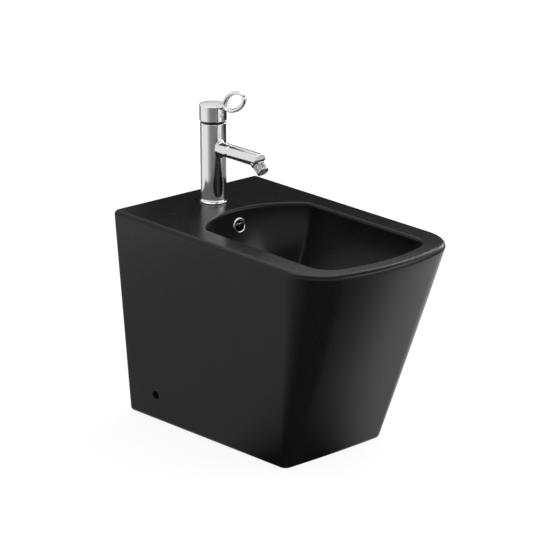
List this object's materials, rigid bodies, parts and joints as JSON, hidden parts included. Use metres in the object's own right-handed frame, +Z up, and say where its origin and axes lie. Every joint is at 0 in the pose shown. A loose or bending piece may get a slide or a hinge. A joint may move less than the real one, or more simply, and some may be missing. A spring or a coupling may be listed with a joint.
{
  "type": "bidet",
  "caption": "Floor-standing back-to-wall bidet in black ceramic with a chrome mixer tap, a loop lever, a swivel aerator and a click waste.",
  "frame": {"origin": "bottom centre of the bounding box, on the floor", "axes": "+Z up; +Y to the wall behind the bidet; the user's side is -Y; +X to the right seen from the front"},
  "size_m": [0.344, 0.576, 0.6223],
  "materials": {
    "black_ceramic": "satin",
    "chrome": "polished",
    "knurled_chrome": "knurled",
    "steel": "brushed",
    "brass": "machined",
    "rubber": "matt",
    "white_plastic": "matt",
    "grey_plastic": "matt",
    "black_plastic": "matt",
    "technical_ceramic": "ground"
  },
  "bodies": {
    "basin": {"ceramic_body": "black_ceramic", "overflow_ring": "chrome", "waste_upper_seal": "rubber", "waste_body": "chrome", "waste_lower_seal": "rubber", "waste_washer": "white_plastic", "waste_nut": "brass", "click_barrel": "brass", "tap_body": "chrome", "tap_base_seal": "rubber", "fixing_stud": "steel", "fixing_gasket": "rubber", "fixing_washer": "steel", "fixing_nut": "brass", "spout": "chrome", "spout_seal": "rubber", "ball_retainer": "steel", "cartridge_seal": "rubber", "cartridge_base": "white_plastic", "fixed_disc": "technical_ceramic", "cartridge_housing": "grey_plastic", "cartridge_nut": "brass", "neck_ring": "black_plastic"},
    "handle_base": {"turret": "white_plastic", "pivot_pin": "steel"},
    "handle": {"lever_stem": "steel", "handle_cap": "chrome", "loop_lever": "chrome", "grub_screw": "steel", "screw_cover": "chrome"},
    "disc": {"moving_disc": "technical_ceramic"},
    "aerator_gimbal": {"ball_slip_ring": "white_plastic"},
    "aerator": {"swivel_ball": "chrome", "aerator_housing": "knurled_chrome", "aerator_seal": "rubber", "aerator_insert": "grey_plastic"},
    "plug": {"click_stem": "white_plastic", "waste_plug": "chrome", "waste_plug_seal": "rubber"}
  },
  "joints": [
    {"name": "handle_turn", "type": "hinge", "parent": "basin", "child": "handle_base", "pos_m": [0, 0.206, 0.535], "axis": [0, 0, 1], "range_deg": [-45, 45]},
    {"name": "handle_lift", "type": "hinge", "parent": "handle_base", "child": "handle", "pos_m": [0, 0.206, 0.535], "axis": [-1, 0, 0], "range_deg": [0, 15]},
    {"name": "disc_slide", "type": "slide", "parent": "handle_base", "child": "disc", "axis": [0, -1, 0], "range_m": [0, 0.0014]},
    {"name": "aerator_pitch", "type": "hinge", "parent": "basin", "child": "aerator_gimbal", "pos_m": [0, 0.08764, 0.50183], "axis": [1, 0, 0], "range_deg": [-8, 8]},
    {"name": "aerator_roll", "type": "hinge", "parent": "aerator_gimbal", "child": "aerator", "pos_m": [0, 0.08764, 0.50183], "axis": [0, -0.6428, 0.766], "range_deg": [-8, 8]},
    {"name": "plug_click", "type": "slide", "parent": "basin", "child": "plug", "axis": [0, 0, 1], "range_m": [-0.007, 0]}
  ],
  "couplings": [
    {"joint": "disc_slide", "follows": "handle_lift", "m_per_rad": 0.00534}
  ]
}
